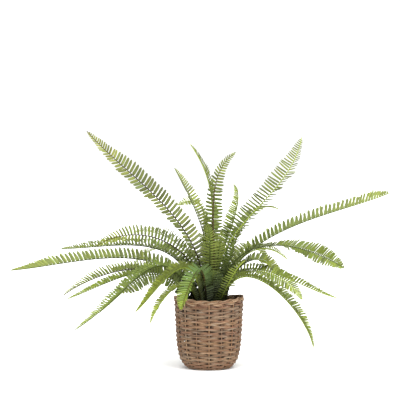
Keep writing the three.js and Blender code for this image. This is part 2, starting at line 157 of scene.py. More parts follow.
# Fronds
ROOT_DEPTH = 13
STALK_HALF = 1.8
RIB_TIP_HALF = 0.9
RIB_STEPS = 44
RIB_GROOVE = np.array([1, 1, 0.72, 1, 1, 1, 1.08, 1])  # how far each corner lies out
CURVE_STEPS = 300
BARE_SHARE = 0.05  # of the rib, from the soil, that carries no pinnae
LONG_STALKS = {"right_broad": 0.34, "upper_right": 0.11}  # that share where it is greater
LEAFY_END = 0.99
BASKET_RADIUS = 80
BASKET_TOP = 157.3
CLEARANCE = 2.6  # between sample points of two fronds
SAMPLE_STEP = 2.4
FIRST_LENGTH = 0.72  # of the pinnae nearest the soil, as a share of the longest
LONGEST_FROM = 0.32  # share of the leafy part at which they are longest
SHORTENING = 0.65  # a power, towards the tip
SHORTEST_PINNA = 2.2
NARROWEST = 0.85  # width of the shortest, as a share of the usual
TIP_PITCH = 0.6  # their distance apart at the tip, as such a share
CLOSER_FROM = 0.65  # share of the leafy part at which they come closer
LEAN_FROM = 0.6  # and at which they lean more
PINNA_HALF = 0.24  # of its thickness
SHADE_HEIGHTS = (178, 265)  # between which the crown's painted shade fades
SHADE_DISTANCES = (38, 78)  # from the axis
DEEPEST_SHADE = 0.12

# How a pinna departs from the rule: limits of a factor, or a middle and a spread
PINNA_LENGTHS = (0.95, 1.04)
PINNA_WIDTHS = (0.92, 1.06)
PINNA_STEPS = (0.96, 1.04)
FOLD_SPREAD, SWEEP_SPREAD = 3, 2
FOOT_TWIST, MORE_TWIST = (7, 4), (-2, 4)  # degrees at its foot, and from there to its tip
PINNA_BENDS = (0.03, 0.13)
PINNA_DROOPS = (0.0, 0.12)
BRIGHTNESS = (1, 0.2)
YELLOWING = (0, 0.05)
YELLOW = np.array([1.0, 0.35, -1.2])
PATTERN_SPREAD = 900

# Colours


def rgb(code):
    """The linear colour of a code such as 8a6a4f"""
    levels = np.array([int(code[i : i + 2], 16) for i in (0, 2, 4)]) / 255
    return np.where(levels <= 0.04045, levels / 12.92, ((levels + 0.055) / 1.055) ** 2.4)


def colours(codes):
    return [rgb(code) for code in codes.split()]


# Of a frond: its pinnae near the soil, along the middle and at the tip, and their underside
FRESH = colours("44501a 5a641a 788329 64702c")
BRIGHT = colours("4e5c1a 65751b 819029 6e7b2a")
LIME = colours("545e2c 6c7834 889240 707a40")
LIGHT = colours("66752e 8a9a3c 9cab48 84933e")
MOSS = colours("3e4a19 55611b 717e28 5c6829")
OLIVE = colours("464e2c 5e6534 7e823e 62683e")
DEEP = colours("37451a 4c571c 6f7828 566237")
PALE = colours("41511c 5e6e26 86942f 56642a")
# SILVER's colour near the soil is painted shade: the front leaf's lower pinnae are near-black where they
# sink into the crown's shade
SILVER = colours("1a2610 465e2a 728426 506432")
# DARK is painted shade: near-black fronds low in the crown, where its shade falls
DARK = colours("162208 384a16 5a6c20 283816")
# Its rib near the soil, along the middle and at the tip
GREEN_RIB = colours("4a4424 76852f 9aa84c")
BROWN_RIB = colours("20150b 24190c 4a4420")
OLIVE_RIB = colours("30381a 4a5622 76843a")
RED_RIB = colours("465020 3e281f 66702e")
# STRIPED_RIB's colour near the soil is painted shade, dark so that the front leaf's stalk sinks into the
# crown's shade; its brown middle is the stalk's own colour
STRIPED_RIB = colours("182008 3a3014 66602c")
DARK_RIB = colours("1f2410 38421a 55622a")

# Each frond: its root's distance from the middle and bearing, the points that its rib passes at a third
# and two thirds of its length, and its tip. Then its longest pinna, how far the pinnae fold up from the
# blade, their distance apart, their width as a share of it, their lean towards the tip along the frond's
# middle and at its end, and the colours of its pinnae and its rib.
FRONDS = {
    "upper_left": ((14, 165), (-50, 13, 300), (-160, 40, 422), (-280, 70, 535),
        28, 38, 9.2, 0.84, 4, 20, OLIVE, BROWN_RIB),
    "left_high_back": ((38, 150), (-92, 46, 254), (-215, 97, 271), (-350, 155, 260),
        25, 58, 8.0, 0.6, 12, 34, MOSS, DARK_RIB),
    "left_arch": ((27, 165), (-49, 4, 245), (-142, -7, 298), (-251, -20, 275),
        26, 20, 7.6, 0.7, 4, 30, DEEP, BROWN_RIB),
    "left_back_short": ((28, 137), (-33, 30, 230), (-94, 76, 290), (-173, 140, 300),
        23, 50, 6.6, 0.5, 6, 30, FRESH, GREEN_RIB),
    "left_long": ((26, 187), (-128, -22, 240), (-283, -51, 245), (-436, -80, 225),
        27, 62, 9.0, 0.66, 12, 50, LIME, DARK_RIB),
    "left_mid": ((38, 178), (-110, -28, 218), (-218, -64, 218), (-318, -100, 172),
        22, 58, 6.8, 0.62, 14, 34, FRESH, BROWN_RIB),
    "left_mid_low": ((39, 164), (-115, 8, 213), (-216, 5, 197), (-319, 0, 155),
        18, 56, 6.8, 0.58, 14, 36, BRIGHT, OLIVE_RIB),
    "left_low": ((27, 214), (-102, -60, 233), (-177, -139, 194), (-284, -210, 108),
        23, 60, 6.2, 0.5, 14, 34, PALE, DARK_RIB),
    "left_low_back": ((38, 197), (-108, -35, 211), (-167, -73, 196), (-240, -105, 134),
        23, 20, 6.6, 0.9, 6, 24, DEEP, OLIVE_RIB),
    "front_left": ((38, 244), (-50, -95, 232), (-105, -185, 201), (-154, -260, 151),
        19, 62, 5.0, 0.98, 26, 50, FRESH, GREEN_RIB),
    "front_left_narrow": ((38, 228), (-52, -46, 189), (-93, -80, 170), (-128, -110, 112),
        15, 30, 4.4, 1.0, 4, 24, FRESH, GREEN_RIB),
    "front_leaf": ((38, 262), (-11, -71, 208), (-27, -136, 225), (-60, -175, 147),
        24, 44, 6.0, 0.88, 12, 34, SILVER, STRIPED_RIB),
    "right_drooping": ((38, 319), (87, -54, 209), (172, -104, 157), (225, -135, 61),
        20, 50, 5.6, 0.98, 10, 30, MOSS, GREEN_RIB),
    "right_low": ((38, 335), (69, -22, 210), (141, -39, 213), (207, -55, 158),
        22, 22, 5.4, 0.92, 12, 30, MOSS, GREEN_RIB),
    "right_arch": ((38, 350), (56, -11, 211), (105, -20, 245), (161, -30, 211),
        20, 34, 4.6, 1.1, 14, 24, DEEP, OLIVE_RIB),
    "right_far": ((38, 6), (88, 11, 222), (189, 25, 196), (292, 40, 154),
        18, 52, 6.6, 0.64, 8, 34, BRIGHT, GREEN_RIB),
    "right_broad": ((27, 352), (77, -9, 257), (188, -18, 273), (292, -130, 233),
        27, 20, 4.8, 1.04, 16, 26, MOSS, DARK_RIB),
    "right_back_short": ((38, 38), (59, 47, 224), (117, 94, 262), (186, 150, 234),
        16, 68, 5.6, 0.62, -8, 6, FRESH, GREEN_RIB),
    "right_long": ((14, 5), (106, 15, 272), (258, 37, 342), (416, 60, 393),
        25, 60, 10.0, 0.68, 10, 30, LIME, OLIVE_RIB),
    "upper_right": ((14, 36), (51, 36, 287), (147, 99, 394), (219, 145, 522),
        31, 38, 8.2, 0.62, -10, 12, DEEP, GREEN_RIB),
    "top_curl": ((27, 68), (22, 37, 230), (60, 57, 340), (58, 80, 412),
        23, 60, 4.8, 0.86, 4, 20, BRIGHT, GREEN_RIB),
    "top_middle": ((3, 0), (11, 15, 272), (13, 29, 398), (62, 60, 486),
        25, 12, 8.2, 0.74, 0, 24, DEEP, RED_RIB),
    "top_left_tall": ((14, 85), (5, 40, 281), (5, 64, 392), (-42, 110, 505),
        22, 26, 6.0, 0.95, 0, 30, FRESH, GREEN_RIB),
    "top_left": ((14, 125), (-4, 21, 264), (-36, 37, 366), (-78, 60, 450),
        24, 50, 7.0, 0.78, 0, 24, FRESH, DARK_RIB),
    "back_left": ((27, 112), (-8, 60, 254), (-12, 105, 352), (-74, 190, 362),
        23, 10, 6.4, 0.9, 4, 24, LIGHT, GREEN_RIB),
    "back_right": ((28, 38), (49, 52, 248), (95, 108, 337), (168, 190, 352),
        17, 30, 6.6, 0.8, 14, 38, FRESH, GREEN_RIB),
    "back_middle": ((38, 88), (2, 115, 250), (-4, 225, 285), (-15, 330, 235),
        24, 30, 6.6, 0.8, 14, 38, FRESH, GREEN_RIB),
    "back_low_right": ((38, 63), (55, 110, 235), (103, 205, 262), (150, 290, 215),
        22, 30, 6.6, 0.8, 14, 38, FRESH, GREEN_RIB),
    "back_low_left": ((38, 119), (-65, 105, 235), (-122, 192, 258), (-180, 270, 215),
        22, 30, 6.6, 0.8, 14, 38, FRESH, GREEN_RIB),
    "front_young": ((25, 280), (7, -36, 172), (8, -56, 202), (10, -86, 226),
        24, 0, 5.4, 0.5, 8, 34, DARK, DARK_RIB),
    "front_young_right": ((26, 318), (27, -26, 185), (42, -42, 240), (56, -58, 286),
        20, 30, 5.6, 0.5, 8, 34, DARK, DARK_RIB),
    "crown_left_front": ((27, 243), (-38, -32, 190), (-55, -40, 219), (-76, -48, 236),
        22, 20, 5.6, 0.84, 8, 34, DEEP, DARK_RIB),
    "crown_left": ((13, 230), (-27, -16, 199), (-42, -23, 249), (-58, -30, 283),
        24, 20, 6.0, 0.64, 8, 34, DEEP, DARK_RIB),
    "crown_centre": ((14, 300), (2, -24, 206), (2, -35, 274), (-4, -45, 325),
        24, 10, 6.0, 0.48, 4, 34, FRESH, DARK_RIB),
    "crown_centre_right": ((20, 322), (16, -25, 208), (22, -33, 263), (29, -40, 310),
        22, 15, 5.8, 0.5, 8, 34, FRESH, DARK_RIB),
    "crown_right": ((33, 300), (45, -46, 197), (63, -62, 229), (79, -75, 246),
        22, 20, 5.8, 0.54, 8, 34, BRIGHT, GREEN_RIB),
    "crown_right_inner": ((21, 345), (23, -6, 194), (36, -8, 248), (50, -12, 306),
        22, 15, 6.0, 0.54, 8, 34, MOSS, DARK_RIB),
}

# Blades turned about their rib: how far near the soil and at the tip, and from which share to which
BLADE_TURNS = {
    "upper_left": (-40, -60, 0.2, 0.6), "left_arch": (-20, -56, 0.1, 0.5), "left_mid": (0, -10, 0, 0.6),
    "left_low": (20, 25, 0, 0.6), "left_low_back": (-75, 0, 0.62, 0.8), "front_leaf": (0, 12, 0.6, 0.9),
    "right_arch": (0, 50, 0.45, 0.8), "right_broad": (0, 60, 0.4, 0.85), "right_low": (0, 65, 0.35, 0.75),
    "upper_right": (24, 28, 0, 0.4), "top_middle": (60, 80, 0.1, 0.5),
    "top_left_tall": (35, 72, 0.4, 0.75), "back_left": (0, 50, 0, 0.6),
}
NO_TURN = (0, 0, 0, 1)

# Share of the rib over which the pinnae shorten towards the frond's tip
END_SHARES = {
    "left_long": 0.22, "front_leaf": 0.16, "right_long": 0.1, "right_broad": 0.33, "upper_right": 0.22,
    "top_middle": 0.38,
}
USUAL_END = 0.3

WICKER = colours("876b51 775c45 8f7860 775540 7e6043 675340")
MOST_MIXED = 0.6  # share of a second wicker colour in a rod's own
ROD_BRIGHTNESS = (0.82, 1.12)
PLASTIC = rgb("1c1a18")
PLASTIC_DUST = ((0.35, rgb("161514")), (0.62, rgb("24211e")), (0.85, rgb("3a332b")))
SOIL = rgb("2a1c12")
SOIL_BRIGHTNESS = (0.7, 1.3)
BARK = colours("3a2718 7a5a3c")
# Linear colours that a material mixes in
VEIN, MIDRIB = (0.05, 0.09, 0.02), (0.2, 0.24, 0.06)
RED_STAIN, GREY_STAIN, CRACK = (0.2, 0.095, 0.05), (0.27, 0.215, 0.16), (0.05, 0.028, 0.015)
GRIT = (0.11, 0.075, 0.045)
FLOOR_PALES = ((0.3, (0.88, 0.88, 0.88)), (0.7, (0.9, 0.9, 0.9)))


# Helpers


def lerp(low, high, share):
    return low + (high - low) * share


def smoothstep(value, low, high):
    share = np.clip((value - low) / (high - low), 0, 1)
    return share * share * (3 - 2 * share)


def unit(vectors):
    return vectors / np.linalg.norm(vectors, axis=-1, keepdims=True)


def bearings(steps):
    return np.arange(steps) * 360 / steps


def around(radius, height, bearing):
    """A point at a distance from the axis, a height and a bearing"""
    angle = np.radians(bearing)
    return np.stack(np.broadcast_arrays(radius * np.cos(angle), radius * np.sin(angle), height), axis=-1)


def turned(side, face, angle):
    """Two directions turned by an angle, the first towards the second"""
    return side * np.cos(angle) + face * np.sin(angle), face * np.cos(angle) - side * np.sin(angle)


def lengths_along(path):
    """The length of a path up to each of its points"""
    return np.concatenate([[0], np.cumsum(np.linalg.norm(np.diff(path, axis=0), axis=1))])


class Shape:
    """One piece's closed surfaces: points, four-cornered faces, and each point's tint and pattern place"""

    SMOOTH_UP_TO = 70  # degrees between two faces

    def __init__(self):
        self.points, self.quads, self.tints, self.patterns, self.sorts = ([] for _ in range(5))
        self.count = 0

    def add(self, points, quads, tints, patterns, sort=0):
        flat = points.reshape(-1, 3)
        self.points.append(flat)
        self.quads.append(quads + self.count)
        self.tints.append(np.broadcast_to(tints, points.shape).reshape(-1, 3))
        self.patterns.append(np.broadcast_to(patterns, points.shape).reshape(-1, 3))
        self.sorts.append(np.full(len(quads), sort))
        self.count += len(flat)

    def mesh(self, name):
        points = np.concatenate(self.points) * MM
        quads = np.concatenate(self.quads)
        made = bpy.data.meshes.new(name)
        made.vertices.add(len(points))
        made.vertices.foreach_set("co", points.ravel())
        made.loops.add(quads.size)
        made.loops.foreach_set("vertex_index", quads.ravel().astype(np.int32))
        made.polygons.add(len(quads))
        made.polygons.foreach_set("loop_start", np.arange(0, quads.size, 4, dtype=np.int32))
        made.polygons.foreach_set("material_index", np.concatenate(self.sorts).astype(np.int32))
        made.update(calc_edges=True)
        tints = np.ones((len(points), 4), np.float32)
        tints[:, :3] = np.concatenate(self.tints)
        patterns = np.concatenate(self.patterns).astype(np.float32)
        made.attributes.new("tint", "FLOAT_COLOR", "POINT").data.foreach_set("color", tints.ravel())
        made.attributes.new("pattern", "FLOAT_VECTOR", "POINT").data.foreach_set("vector", patterns.ravel())
        made.shade_smooth()
        made.set_sharp_from_angle(angle=math.radians(self.SMOOTH_UP_TO))
        return made


def tube_quads(sections, sides, closed=False):
    """The faces of a tube: sections by sides corners, with flat ends unless it closes on itself"""
    rows = sections if closed else sections - 1
    row = np.arange(rows)[:, None]
    side = np.arange(sides)[None, :]
    after = (row + 1) % sections
    beside = (side + 1) % sides
    walls = np.stack(np.broadcast_arrays(
        row * sides + side, row * sides + beside, after * sides + beside, after * sides + side
    ), axis=-1).reshape(-1, 4)
    if closed:
        return walls
    step = np.arange(sides // 2 - 1)
    first = np.stack([sides - 1 - step, sides - 2 - step, step + 1, step], axis=-1)
    last = first[:, ::-1] + (sections - 1) * sides
    return np.concatenate([walls, first, last])


def rod_points(path, across, up, half_across, half_up, sides):
    """Points of a rod along a path, from its half sizes across and up"""
    angle = np.radians(bearings(sides))
    flat = np.cos(angle)[None, :, None] * across[:, None, :] * np.reshape(half_across, (-1, 1, 1))
    high = np.sin(angle)[None, :, None] * up[:, None, :] * np.reshape(half_up, (-1, 1, 1))
    return path[:, None, :] + flat + high


def rod_pattern(path, half, sides, seed, closed=False):
    """Places on a rod, for a grain that runs along it"""
    along = lengths_along(path)
    if closed:
        along = np.minimum(along, 2 * along[-1] - along[-2] - along)
    return around(half, along[:, None], bearings(sides)) + seed * GRAIN_STEP


def wave(steps, draw, waves, size):
    """A smooth wobble: a few waves round a ring, at random phases"""
    angle = np.linspace(0, 2 * np.pi, steps, endpoint=False)
    return sum(size * np.sin(k * angle + draw.uniform(0, 2 * np.pi)) for k in waves) / len(waves) ** 0.5


# Materials


class Shader:
    """A material with one Principled shader, and short calls that add nodes to it"""

    NOISE_SPAN = (0.3, 0.7)  # which holds most of a noise's values
    MIX_FIRST, MIX_SECOND, MIX_RESULT = 6, 7, 2  # a Mix node's colour sockets

    def __init__(self, name, specular):
        self.material = bpy.data.materials.new(name)
        self.material.use_nodes = True
        self.tree = self.material.node_tree
        self.surface = self.tree.nodes["Principled BSDF"]
        self.surface.inputs["Specular IOR Level"].default_value = specular

    def node(self, kind, settings=None, **inputs):
        made = self.tree.nodes.new("ShaderNode" + kind)
        for key, value in (settings or {}).items():
            setattr(made, key, value)
        for key, value in inputs.items():
            self.feed(made.inputs[key], value)
        return made

    def feed(self, socket, value):
        if isinstance(value, bpy.types.NodeSocket):
            self.tree.links.new(value, socket)
        else:
            socket.default_value = value

    def pattern(self):
        return self.node("Attribute", {"attribute_name": "pattern"}).outputs["Vector"]

    def tint(self):
        return self.node("Attribute", {"attribute_name": "tint"}).outputs["Color"]

    def own_place(self):
        return self.node("TexCoord").outputs["Object"]

    def stretched(self, vector, scale):
        return self.node("Mapping", Vector=vector, Scale=scale).outputs["Vector"]

    def scaled(self, colour, level):
        return self.node("VectorMath", {"operation": "SCALE"}, Vector=colour, Scale=level).outputs["Vector"]

    def noise(self, vector, scale, detail, rough=0.55):
        made = self.node("TexNoise", Vector=vector, Scale=scale, Detail=detail, Roughness=rough)
        return made.outputs["Fac"]

    def ramp(self, factor, *stops):
        """A colour ramp from pairs of a place and a colour"""
        made = self.node("ValToRGB", Fac=factor)
        elements = made.color_ramp.elements
        while len(elements) < len(stops):
            elements.new(0.5)
        for element, (place, colour) in zip(elements, stops):
            element.position = place
            element.color = (*colour, 1)
        return made.outputs["Color"]

    def remap(self, value, given, wanted):
        """The value with one pair of limits turned into another"""
        limits = dict(zip(("From Min", "From Max", "To Min", "To Max"), (*given, *wanted)))
        return self.node("MapRange", Value=value, **limits).outputs["Result"]

    def spread(self, value, low, high):
        return self.remap(value, self.NOISE_SPAN, (low, high))

    def math(self, operation, *values):
        made = self.node("Math", {"operation": operation})
        for socket, value in zip(made.inputs, values):
            self.feed(socket, value)
        return made.outputs["Value"]

    def mix(self, factor, first, second):
        made = self.node("Mix", {"data_type": "RGBA"}, Factor=factor)
        self.feed(made.inputs[self.MIX_FIRST], first)
        self.feed(made.inputs[self.MIX_SECOND], (*second, 1))
        return made.outputs[self.MIX_RESULT]

    def bump(self, height, strength, distance):
        made = self.node("Bump", Height=height, Strength=strength, Distance=distance * MM)
        self.feed(self.surface.inputs["Normal"], made.outputs["Normal"])

    def finish(self, colour, roughness):
        self.feed(self.surface.inputs["Base Color"], colour)
        self.feed(self.surface.inputs["Roughness"], roughness)
        return self.material


def leaf_material():
    """Green blades with a midrib, fine side veins and a soft gloss"""
    vein_slant = 0.9  # millimetres along the blade for each one across
    vein_rate = 5.2  # radians of the veins' wave for each millimetre
    shader = Shader("leaf", specular=0.3)
    place = shader.pattern()
    parts = shader.node("SeparateXYZ", Vector=place)
    across = shader.math("ABSOLUTE", parts.outputs["X"])
    slant = shader.math("MULTIPLY_ADD", across, vein_slant, parts.outputs["Y"])
    veins = shader.math("SINE", shader.math("MULTIPLY", slant, vein_rate))
    veins = shader.remap(veins, (0.2, 1), (0, 1))
    midrib = shader.remap(across, (0.12, 0.42), (1, 0))
    mottle = shader.noise(place, scale=0.55, detail=4)
    toned = shader.scaled(shader.tint(), shader.spread(mottle, low=0.82, high=1.16))
    veined = shader.mix(shader.math("MULTIPLY", veins, 0.16), toned, VEIN)
    ribbed = shader.mix(shader.math("MULTIPLY", midrib, 0.35), veined, MIDRIB)
    swell = shader.math("MULTIPLY", mottle, 0.5)
    relief = shader.math("SUBTRACT", swell, shader.math("MULTIPLY", veins, 0.35))
    shader.bump(shader.math("SUBTRACT", relief, midrib), strength=0.35, distance=0.25)
    return shader.finish(ribbed, shader.spread(mottle, low=0.42, high=0.6))


def rib_material():
    """Smooth stalks with fine lengthwise lines"""
    shader = Shader("rib", specular=0.1)
    lines = shader.noise(shader.stretched(shader.pattern(), (1.6, 1.6, 0.05)), scale=1, detail=4)
    toned = shader.scaled(shader.tint(), shader.spread(lines, low=0.75, high=1.2))
    shader.bump(lines, strength=0.5, distance=0.2)
    return shader.finish(toned, shader.spread(lines, low=0.4, high=0.58))


def wicker_material():
    """Dry willow rods: grain and cracks along them, reddish and grey stains"""
    shader = Shader("wicker", specular=0.3)
    place = shader.pattern()
    grain = shader.noise(shader.stretched(place, (1.3, 1.3, 0.07)), scale=1.2, detail=5, rough=0.65)
    stains = shader.noise(shader.stretched(place, (0.12, 0.12, 0.05)), scale=1, detail=3)
    cracks = shader.noise(shader.stretched(place, (2.6, 2.6, 0.035)), scale=1.5, detail=2)
    reddened = shader.mix(shader.remap(stains, (0.52, 0.7), (0, 0.55)), shader.tint(), RED_STAIN)
    greyed = shader.mix(shader.remap(stains, (0.45, 0.3), (0, 0.6)), reddened, GREY_STAIN)
    toned = shader.scaled(greyed, shader.remap(grain, (0.28, 0.72), (0.62, 1.3)))
    lines = shader.remap(cracks, (0.34, 0.24), (0, 0.8))
    shader.bump(shader.math("SUBTRACT", grain, lines), strength=0.7, distance=0.35)
    return shader.finish(shader.mix(lines, toned, CRACK), shader.spread(grain, low=0.82, high=0.6))


def plastic_material():
    """Matt black plastic with dust and faint scuffs"""
    shader = Shader("pot_plastic", specular=0.4)
    place = shader.own_place()
    dust = shader.noise(place, scale=55, detail=5, rough=0.6)
    scuffs = shader.noise(shader.stretched(place, (1, 1, 7)), scale=90, detail=4)
    shader.bump(shader.math("ADD", dust, scuffs), strength=0.25, distance=0.3)
    return shader.finish(shader.ramp(dust, *PLASTIC_DUST), shader.spread(scuffs, low=0.38, high=0.62))


def soil_material():
    """Dark, damp potting soil with peat and bark"""
    shader = Shader("soil", specular=0.25)
    place = shader.own_place()
    lumps = shader.noise(place, scale=220, detail=8, rough=0.65)
    grit = shader.node("TexVoronoi", Vector=place, Scale=700.0).outputs["Distance"]
    toned = shader.scaled(shader.tint(), shader.spread(lumps, low=0.45, high=1.5))
    gritty = shader.mix(shader.remap(grit, (0, 0.25), (0.5, 0)), toned, GRIT)
    shader.bump(shader.math("ADD", lumps, grit), strength=0.9, distance=0.8)
    return shader.finish(gritty, shader.spread(lumps, low=0.95, high=0.75))


def floor_material():
    """A plain pale floor with the faintest unevenness"""
    shader = Shader("floor", specular=0.2)
    cloud = shader.noise(shader.own_place(), scale=3, detail=3)
    colour = shader.ramp(cloud, *FLOOR_PALES)
    return shader.finish(colour, shader.spread(cloud, low=0.75, high=0.85))


# Basket


def side_radius(height):
    """Radius of the basket's side at a height"""
    fall = (SIDE_RADIUS - FOOT_RADIUS) * np.exp(-height / SHOULDER_HEIGHT)
    return SIDE_RADIUS + SIDE_FLARE * height - fall


def mouth_rise(bearing):
    return MOUTH_RISE * np.cos(np.radians(bearing)) ** 2


class SideLine:
    """The outline of the basket's side, by shares of its length from foot to border"""

    def __init__(self):
        heights = np.linspace(0, SIDE_TOP, LINE_STEPS)
        radii = side_radius(heights)
        lengths = lengths_along(np.stack([radii, heights], axis=1))
        self.length = lengths[-1]
        self.shares = lengths / self.length
        self.known = (radii, heights, np.gradient(radii, heights))

    def at(self, share, depth, bearing):
        """Radius and height at a depth behind the outline, and the outward direction as such a pair"""
        radius, height, slope = (np.interp(share, self.shares, values) for values in self.known)
        out_radius = 1 / np.hypot(1, slope)
        out_height = -slope * out_radius
        rise = mouth_rise(bearing) * smoothstep(height, RISE_START, SIDE_TOP)
        return radius - depth * out_radius, height - depth * out_height + rise, (out_radius, out_height)


def rod_tint(draw):
    """One rod's own colour"""
    first, second = draw.choice(len(WICKER), 2, replace=False)
    mixed = lerp(WICKER[first], WICKER[second], draw.uniform(0, MOST_MIXED))
    return mixed * draw.uniform(*ROD_BRIGHTNESS)


def add_ring(shape, radius, height, halves, sides, tint, seed, out=(1, 0)):
    """A closed rod round the axis, with its section's outward direction as radius and height"""
    steps = len(radius)
    bearing = bearings(steps)
    path = around(radius, height, bearing)
    outward = around(*out, bearing)
    up = unit(np.cross(outward, unit(np.roll(path, -1, axis=0) - np.roll(path, 1, axis=0))))
    points = rod_points(path, outward, up, *halves, sides)
    points[..., 2] = np.maximum(points[..., 2], 0)
    quads = tube_quads(steps, sides, closed=True)
    shape.add(points, quads[:, ::-1], tint, rod_pattern(path, WEAVER_HALF, sides, seed, closed=True))


def add_rod(shape, path, bearing, halves, tint, seed):
    """An open rod along a path in the upright plane of a bearing"""
    along = unit(np.gradient(path, axis=0))
    across = around(1.0, 0.0, bearing + 90)
    side = unit(across - along * np.sum(across * along, axis=1, keepdims=True))
    up = np.cross(along, side)
    points = rod_points(path, side, up, *halves, ROD_SIDES)
    pattern = rod_pattern(path, WEAVER_HALF, ROD_SIDES, seed)
    shape.add(points, tube_quads(len(path), ROD_SIDES), tint, pattern)


def add_weaver(shape, line, row, place, draw):
    """One weaver of a pair, in front of the stakes and behind them in turn"""
    bearing = bearings(WEAVER_STEPS)
    rise = wave(WEAVER_STEPS, draw, *ROW_WOBBLE)
    share = (row + 0.5 + PAIR_OFFSET * place) / WEAVE_ROWS + rise / line.length
    stakes_passed = (bearing - FRONT_BEARING) * STAKES / 360
    from_hidden = 1 - np.abs(1 - (stakes_passed + row) % 2)
    swing = WEAVE_SWING * (2 * from_hidden**0.5 - 1)
    depth = WEAVE_DEPTH - swing + wave(WEAVER_STEPS, draw, *DEPTH_WOBBLE)
    lit_from = LIT_FROM + wave(WEAVER_STEPS, draw, *LIT_WOBBLE)
    shade = lerp(HIDDEN_SHADE, 1, smoothstep(from_hidden - lit_from, *LIT_EDGE))
    radius, height, out = line.at(share, depth, bearing)
    half = WEAVER_HALF * draw.uniform(*WEAVER_SIZES) * (1 + wave(WEAVER_STEPS, draw, *WEAVER_SWELL))
    halves = (half * WEAVER_OUT, np.minimum(half * WEAVER_UP, line.length / WEAVE_ROWS * TALLEST_WEAVER))
    height = np.maximum(height, half * WEAVER_LIFT)
    tint = rod_tint(draw) * shade[:, None, None]
    add_ring(shape, radius, height, halves, WEAVER_SIDES, tint, row * 2 + (place + 1) / 2, out)


def side_weave():
    """Rows of weavers in pairs, and the upright stakes"""
    shape = Shape()
    line = SideLine()
    draw = np.random.default_rng(SIDE_SEED)
    for row in range(WEAVE_ROWS):
        for place in (-1, 1):
            add_weaver(shape, line, row, place, draw)
    for stake in range(STAKES):
        bearing = FRONT_BEARING + stake * 360 / STAKES
        radius, height, _ = line.at(np.linspace(0, 1, STAKE_STEPS), STAKE_DEPTH, bearing)
        path = around(radius, height, bearing)
        path = np.concatenate([path, [path[-1] + (0, 0, STAKE_END)]])
        path[0, 2] = STAKE_HALF
        # painted light on the stakes
        tint = rod_tint(draw) * STAKE_PAINTED_LIGHT
        add_rod(shape, path, bearing, (STAKE_HALF, STAKE_HALF), tint, seed=STAKE_GRAIN + stake)
    return shape


def border_plait():
    """Strands of two rods each, plaited along the basket's mouth"""
    shape = Shape()
    draw = np.random.default_rng(BORDER_SEED)
    bearing = bearings(BORDER_STEPS)
    for rod in range(2 * BORDER_STRANDS):
        strand, place = divmod(rod, 2)
        wobble = wave(BORDER_STEPS, draw, *STRAND_WOBBLE)
        angle = np.radians(strand * 360 / BORDER_STRANDS + BORDER_WAVES * bearing + wobble)
        swell = 1 + wave(BORDER_STEPS, draw, *STRAND_SWELL)
        beside = (2 * place - 1) * STRAND_ROD_HALF * STRAND_ROD_GAP
        radius = BORDER_RADIUS + BORDER_HALF_WIDTH * swell * np.sin(2 * angle)
        height = BORDER_MIDDLE + mouth_rise(bearing) + BORDER_HALF_HEIGHT * swell * np.sin(angle) + beside
        half = STRAND_ROD_HALF * draw.uniform(*STRAND_ROD_SIZES)
        half = half * (1 + wave(BORDER_STEPS, draw, *ROD_SWELL))
        add_ring(shape, radius, height, (half, half), ROD_SIDES, rod_tint(draw), seed=BORDER_GRAIN + rod)
    for rod, (radius, height) in enumerate(BINDING):
        radius = radius + wave(BORDER_STEPS, draw, *BINDING_WOBBLE)
        height = height + mouth_rise(bearing) + wave(BORDER_STEPS, draw, *BINDING_LIFT)
        # painted shade under the plait
        tint = rod_tint(draw) * BINDING_PAINTED_SHADE
        add_ring(shape, radius, height, BINDING_HALVES, ROD_SIDES, tint, seed=BINDING_GRAIN + rod)
    return shape


def woven_base():
    """Rings woven round spokes that cross under the basket"""
    shape = Shape()
    draw = np.random.default_rng(BASE_SEED)
    swing = np.cos(np.radians(bearings(BASE_STEPS) * STAKES / 2))
    for ring in range(BASE_RINGS):
        radius = lerp(BASE_HUB, BASE_RADIUS, ring / (BASE_RINGS - 1)) + wave(BASE_STEPS, draw, *RING_WOBBLE)
        height = BASE_MIDDLE + (-1) ** ring * BASE_SWING * swing
        add_ring(shape, radius, height, RING_HALVES, WEAVER_SIDES, rod_tint(draw), seed=RING_GRAIN + ring)
    reach = BASE_RADIUS + SPOKE_END
    for spoke in range(STAKES // 2):
        bearing = spoke * 360 / STAKES
        path = around(np.linspace(-reach, reach, SPOKE_STEPS), BASE_MIDDLE, bearing)
        add_rod(shape, path, bearing, SPOKE_HALVES, rod_tint(draw), seed=SPOKE_GRAIN + spoke)
    return shape


# Pot and soil


def plastic_pot():
    """The black grower's pot, with a rolled lip"""
    shape = Shape()
    points = around(POT_PROFILE[:, :1], POT_PROFILE[:, 1:], bearings(POT_SIDES))
    shape.add(points, tube_quads(len(POT_PROFILE), POT_SIDES), PLASTIC, points)
    return shape


def soil_height(radius):
    return lerp(SOIL_CROWN_HEIGHT, SOIL_EDGE_HEIGHT, (radius / POT_MOUTH_RADIUS) ** 2)


def soil_lumps(points):
    """How far the soil's surface rises and falls at each point"""
    rough = [noise.fractal(Vector(point) * LUMP_RATE, 1.0, 2.1, 5) for point in points.reshape(-1, 3)]
    return np.reshape(rough, points.shape[:-1]) * LUMP_SIZE


